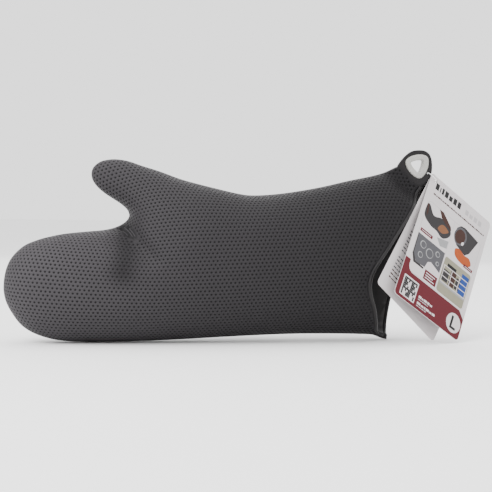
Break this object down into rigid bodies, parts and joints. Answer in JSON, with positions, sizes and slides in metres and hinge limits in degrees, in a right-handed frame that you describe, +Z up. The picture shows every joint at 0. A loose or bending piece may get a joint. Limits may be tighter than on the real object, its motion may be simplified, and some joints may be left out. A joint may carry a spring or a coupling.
{
  "type": "oven mitt",
  "caption": "Gauntlet oven mitt of laminated sheet rubber with moulded grip dimples, a hanging tab with an eyelet, and hang tags on a loop.",
  "frame": {"origin": "bottom centre of the whole object's bounding box, on the surface it stands on", "axes": "+X from the fingertips to the cuff, +Z up (thumb side), +Y from the near panel to the far panel"},
  "size_m": [0.5044, 0.0977, 0.1936],
  "materials": {
    "grip_rubber": "matte moulded rubber with round dimples",
    "foam": "closed-cell foam",
    "lining_knit": "smooth black knit",
    "hem_rubber": "smooth satin rubber",
    "seam_tape": "bonded and stitched seam",
    "eyelet_plastic": "satin",
    "loop_nylon": "clear moulded nylon",
    "tag_card": "smooth printed card"
  },
  "bodies": {
    "mitt": {"near_grip_skin": "grip_rubber", "near_foam_core": "foam", "near_lining": "lining_knit", "near_hem": "hem_rubber", "far_grip_skin": "grip_rubber", "far_foam_core": "foam", "far_lining": "lining_knit", "far_hem": "hem_rubber", "seam_strip": "seam_tape", "near_tab": "hem_rubber", "far_tab": "hem_rubber", "eyelet_front": "eyelet_plastic", "eyelet_back": "eyelet_plastic"},
    "loop": {"tag_loop": "loop_nylon"},
    "front_card": {"front_tag": "tag_card"},
    "rear_card": {"rear_tag": "tag_card"}
  },
  "joints": [
    {"name": "loop_swing", "type": "hinge", "parent": "mitt", "child": "loop", "pos_m": [0.17243, 0.0123, 0.17149], "axis": [0, 1, 0], "range_deg": [-30, 0.5]},
    {"name": "front_tag_swing", "type": "hinge", "parent": "loop", "child": "front_card", "pos_m": [0.18158, 0.01162, 0.16296], "axis": [0.4597, -0.8609, 0.2181], "range_deg": [-5, 60]},
    {"name": "rear_tag_swing", "type": "hinge", "parent": "loop", "child": "rear_card", "pos_m": [0.1815, 0.01365, 0.16303], "axis": [0.4807, -0.8671, 0.1305], "range_deg": [-0.5, 45]}
  ]
}
